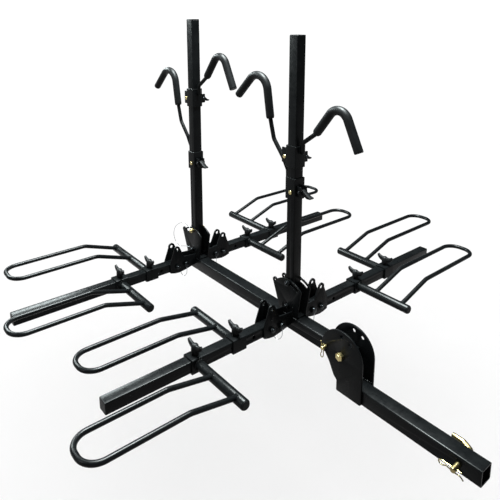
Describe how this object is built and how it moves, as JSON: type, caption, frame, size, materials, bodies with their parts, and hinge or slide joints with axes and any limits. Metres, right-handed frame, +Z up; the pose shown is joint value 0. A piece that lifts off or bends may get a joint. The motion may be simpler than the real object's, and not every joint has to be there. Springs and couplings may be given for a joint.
{
  "type": "hitch-mounted bicycle rack",
  "caption": "Platform bicycle rack for a receiver hitch: a tilting spine carries masts with rubber-covered frame hooks and folding arms with sliding wheel hoops.",
  "frame": {"origin": "centre of the hitch-pin hole, on the axis of the receiver shank", "axes": "+Y rearwards along the shank and spine, away from the vehicle; +X along the wheel arms; +Z up"},
  "size_m": [1.914, 1.6435, 1.1729],
  "materials": {
    "black_powder_coat": "satin black powder coat",
    "grip_rubber": "smooth satin rubber",
    "black_plastic": "moulded, fine texture",
    "black_zinc": "black zinc plating",
    "yellow_zinc": "yellow zinc plating"
  },
  "bodies": {
    "base": {"receiver_shank": "black_powder_coat", "hinge_plate_left": "black_powder_coat", "hinge_plate_right": "black_powder_coat", "spine_hinge_bolt": "yellow_zinc"},
    "hitch_pin_body": {"hitch_pin": "yellow_zinc"},
    "hitch_clip_body": {"hitch_clip": "yellow_zinc"},
    "support_pin_body": {"spine_support_pin": "yellow_zinc"},
    "support_clip_body": {"support_pin_clip": "yellow_zinc"},
    "near_mast_body": {"near_mast": "black_powder_coat", "near_mast_cap": "black_plastic", "near_mast_clamp_bolt": "black_zinc"},
    "near_front_hook_body": {"near_front_hook": "black_powder_coat", "near_front_grip": "grip_rubber"},
    "near_front_lever_body": {"near_front_lever": "black_powder_coat"},
    "near_rear_hook_body": {"near_rear_hook": "black_powder_coat", "near_rear_grip": "grip_rubber"},
    "near_rear_lever_body": {"near_rear_lever": "black_powder_coat"},
    "near_left_arm_body": {"near_left_arm": "black_powder_coat"},
    "near_left_arm_pin_body": {"near_left_arm_pin": "black_zinc"},
    "near_right_arm_body": {"near_right_arm": "black_powder_coat"},
    "near_right_arm_pin_body": {"near_right_arm_pin": "black_zinc"},
    "near_left_outer_holder_body": {"near_left_outer_holder": "black_powder_coat"},
    "near_left_outer_knob_body": {"near_left_outer_knob": "black_plastic"},
    "near_left_inner_holder_body": {"near_left_inner_holder": "black_powder_coat"},
    "near_left_inner_knob_body": {"near_left_inner_knob": "black_plastic"},
    "near_right_inner_holder_body": {"near_right_inner_holder": "black_powder_coat"},
    "near_right_inner_knob_body": {"near_right_inner_knob": "black_plastic"},
    "near_right_outer_holder_body": {"near_right_outer_holder": "black_powder_coat"},
    "near_right_outer_knob_body": {"near_right_outer_knob": "black_plastic"},
    "far_mast_body": {"far_mast": "black_powder_coat", "far_mast_cap": "black_plastic", "far_mast_clamp_bolt": "yellow_zinc"},
    "far_front_hook_body": {"far_front_hook": "black_powder_coat", "far_front_grip": "grip_rubber"},
    "far_front_lever_body": {"far_front_lever": "black_powder_coat"},
    "far_rear_hook_body": {"far_rear_hook": "black_powder_coat", "far_rear_grip": "grip_rubber"},
    "far_rear_lever_body": {"far_rear_lever": "black_powder_coat"},
    "far_left_arm_body": {"far_left_arm": "black_powder_coat"},
    "far_left_arm_pin_body": {"far_left_arm_pin": "black_zinc"},
    "far_right_arm_body": {"far_right_arm": "black_powder_coat"},
    "far_right_arm_pin_body": {"far_right_arm_pin": "black_zinc"},
    "far_left_outer_holder_body": {"far_left_outer_holder": "black_powder_coat"},
    "far_left_outer_knob_body": {"far_left_outer_knob": "black_plastic"},
    "far_left_inner_holder_body": {"far_left_inner_holder": "black_powder_coat"},
    "far_left_inner_knob_body": {"far_left_inner_knob": "black_plastic"},
    "far_right_inner_holder_body": {"far_right_inner_holder": "black_powder_coat"},
    "far_right_inner_knob_body": {"far_right_inner_knob": "black_plastic"},
    "far_right_outer_holder_body": {"far_right_outer_holder": "black_powder_coat"},
    "far_right_outer_knob_body": {"far_right_outer_knob": "black_plastic"},
    "spine_body": {"spine": "yellow_zinc", "near_bracket": "black_powder_coat", "near_left_arm_hinge_bolt": "black_zinc", "near_right_arm_hinge_bolt": "black_zinc", "near_mast_hinge_bolt": "black_zinc", "far_bracket": "black_powder_coat", "far_left_arm_hinge_bolt": "black_zinc", "far_right_arm_hinge_bolt": "black_zinc", "far_mast_hinge_bolt": "black_zinc"}
  },
  "joints": [
    {"name": "hitch_pin_slide", "type": "slide", "parent": "base", "child": "hitch_pin_body", "axis": [1, 0, 0], "range_m": [0, 0.016]},
    {"name": "hitch_clip_slide", "type": "slide", "parent": "hitch_pin_body", "child": "hitch_clip_body", "axis": [0, 1, 0], "range_m": [0, 0.04]},
    {"name": "support_pin_slide", "type": "slide", "parent": "base", "child": "support_pin_body", "axis": [1, 0, 0], "range_m": [0, 0.007]},
    {"name": "support_clip_slide", "type": "slide", "parent": "support_pin_body", "child": "support_clip_body", "axis": [0, 0, -1], "range_m": [0, 0.036]},
    {"name": "spine_tilt", "type": "hinge", "parent": "base", "child": "spine_body", "pos_m": [0, 0.402, 0.106], "axis": [1, 0, 0], "range_deg": [0, 90]},
    {"name": "near_mast_tilt", "type": "hinge", "parent": "spine_body", "child": "near_mast_body", "pos_m": [0, 0.655, 0.165], "axis": [1, 0, 0], "range_deg": [0, 30]},
    {"name": "near_front_hook_slide", "type": "slide", "parent": "near_mast_body", "child": "near_front_hook_body", "axis": [0, 0, 1], "range_m": [-0.015, 0.15]},
    {"name": "near_front_lever_turn", "type": "hinge", "parent": "near_front_hook_body", "child": "near_front_lever_body", "pos_m": [0.03545, 0.655, 0.697], "axis": [0, -1, 0], "range_deg": [0, 35], "stiffness_Nm_per_rad": 0.05, "springref_deg": -20.05},
    {"name": "near_rear_hook_slide", "type": "slide", "parent": "near_mast_body", "child": "near_rear_hook_body", "axis": [0, 0, 1], "range_m": [-0.15, 0.015]},
    {"name": "near_rear_lever_turn", "type": "hinge", "parent": "near_rear_hook_body", "child": "near_rear_lever_body", "pos_m": [0, 0.61955, 0.587], "axis": [-1, 0, 0], "range_deg": [0, 35], "stiffness_Nm_per_rad": 0.05, "springref_deg": -20.05},
    {"name": "near_left_arm_fold", "type": "hinge", "parent": "spine_body", "child": "near_left_arm_body", "pos_m": [-0.12, 0.655, 0.121], "axis": [0, 1, 0], "range_deg": [0, 90]},
    {"name": "near_left_arm_pin_slide", "type": "slide", "parent": "spine_body", "child": "near_left_arm_pin_body", "axis": [0, -1, 0], "range_m": [0, 0.07]},
    {"name": "near_right_arm_fold", "type": "hinge", "parent": "spine_body", "child": "near_right_arm_body", "pos_m": [0.12, 0.655, 0.121], "axis": [0, -1, 0], "range_deg": [0, 90]},
    {"name": "near_right_arm_pin_slide", "type": "slide", "parent": "spine_body", "child": "near_right_arm_pin_body", "axis": [0, -1, 0], "range_m": [0, 0.07]},
    {"name": "near_left_outer_slide", "type": "slide", "parent": "near_left_arm_body", "child": "near_left_outer_holder_body", "axis": [1, 0, 0], "range_m": [-0.25, 0.045]},
    {"name": "near_left_outer_knob_turn", "type": "hinge", "parent": "near_left_outer_holder_body", "child": "near_left_outer_knob_body", "pos_m": [-0.413, 0.655, 0.155], "axis": [0, 0, 1], "continuous": true},
    {"name": "near_left_inner_slide", "type": "slide", "parent": "near_left_arm_body", "child": "near_left_inner_holder_body", "axis": [1, 0, 0], "range_m": [-0.045, 0.015]},
    {"name": "near_left_inner_knob_turn", "type": "hinge", "parent": "near_left_inner_holder_body", "child": "near_left_inner_knob_body", "pos_m": [-0.257, 0.655, 0.155], "axis": [0, 0, 1], "continuous": true},
    {"name": "near_right_inner_slide", "type": "slide", "parent": "near_right_arm_body", "child": "near_right_inner_holder_body", "axis": [1, 0, 0], "range_m": [-0.1, 0.06]},
    {"name": "near_right_inner_knob_turn", "type": "hinge", "parent": "near_right_inner_holder_body", "child": "near_right_inner_knob_body", "pos_m": [0.343, 0.655, 0.155], "axis": [0, 0, 1], "continuous": true},
    {"name": "near_right_outer_slide", "type": "slide", "parent": "near_right_arm_body", "child": "near_right_outer_holder_body", "axis": [1, 0, 0], "range_m": [-0.06, 0.24]},
    {"name": "near_right_outer_knob_turn", "type": "hinge", "parent": "near_right_outer_holder_body", "child": "near_right_outer_knob_body", "pos_m": [0.531, 0.655, 0.155], "axis": [0, 0, 1], "continuous": true},
    {"name": "far_mast_tilt", "type": "hinge", "parent": "spine_body", "child": "far_mast_body", "pos_m": [0, 1.255, 0.165], "axis": [-1, 0, 0], "range_deg": [0, 30]},
    {"name": "far_front_hook_slide", "type": "slide", "parent": "far_mast_body", "child": "far_front_hook_body", "axis": [0, 0, 1], "range_m": [-0.015, 0.15]},
    {"name": "far_front_lever_turn", "type": "hinge", "parent": "far_front_hook_body", "child": "far_front_lever_body", "pos_m": [0.03545, 1.255, 0.825], "axis": [0, -1, 0], "range_deg": [0, 35], "stiffness_Nm_per_rad": 0.05, "springref_deg": -20.05},
    {"name": "far_rear_hook_slide", "type": "slide", "parent": "far_mast_body", "child": "far_rear_hook_body", "axis": [0, 0, 1], "range_m": [-0.15, 0.015]},
    {"name": "far_rear_lever_turn", "type": "hinge", "parent": "far_rear_hook_body", "child": "far_rear_lever_body", "pos_m": [0, 1.21955, 0.559], "axis": [-1, 0, 0], "range_deg": [0, 35], "stiffness_Nm_per_rad": 0.05, "springref_deg": -20.05},
    {"name": "far_left_arm_fold", "type": "hinge", "parent": "spine_body", "child": "far_left_arm_body", "pos_m": [-0.12, 1.255, 0.121], "axis": [0, 1, 0], "range_deg": [0, 90]},
    {"name": "far_left_arm_pin_slide", "type": "slide", "parent": "spine_body", "child": "far_left_arm_pin_body", "axis": [0, -1, 0], "range_m": [0, 0.07]},
    {"name": "far_right_arm_fold", "type": "hinge", "parent": "spine_body", "child": "far_right_arm_body", "pos_m": [0.12, 1.255, 0.121], "axis": [0, -1, 0], "range_deg": [0, 90]},
    {"name": "far_right_arm_pin_slide", "type": "slide", "parent": "spine_body", "child": "far_right_arm_pin_body", "axis": [0, -1, 0], "range_m": [0, 0.07]},
    {"name": "far_left_outer_slide", "type": "slide", "parent": "far_left_arm_body", "child": "far_left_outer_holder_body", "axis": [1, 0, 0], "range_m": [-0.36, 0.035]},
    {"name": "far_left_outer_knob_turn", "type": "hinge", "parent": "far_left_outer_holder_body", "child": "far_left_outer_knob_body", "pos_m": [-0.371, 1.255, 0.155], "axis": [0, 0, 1], "continuous": true},
    {"name": "far_left_inner_slide", "type": "slide", "parent": "far_left_arm_body", "child": "far_left_inner_holder_body", "axis": [1, 0, 0], "range_m": [-0.035, 0]},
    {"name": "far_left_inner_knob_turn", "type": "hinge", "parent": "far_left_inner_holder_body", "child": "far_left_inner_knob_body", "pos_m": [-0.239, 1.255, 0.155], "axis": [0, 0, 1], "continuous": true},
    {"name": "far_right_inner_slide", "type": "slide", "parent": "far_right_arm_body", "child": "far_right_inner_holder_body", "axis": [1, 0, 0], "range_m": [-0.04, 0.04]},
    {"name": "far_right_inner_knob_turn", "type": "hinge", "parent": "far_right_inner_holder_body", "child": "far_right_inner_knob_body", "pos_m": [0.28, 1.255, 0.155], "axis": [0, 0, 1], "continuous": true},
    {"name": "far_right_outer_slide", "type": "slide", "parent": "far_right_arm_body", "child": "far_right_outer_holder_body", "axis": [1, 0, 0], "range_m": [-0.04, 0.3]},
    {"name": "far_right_outer_knob_turn", "type": "hinge", "parent": "far_right_outer_holder_body", "child": "far_right_outer_knob_body", "pos_m": [0.43, 1.255, 0.155], "axis": [0, 0, 1], "continuous": true}
  ]
}
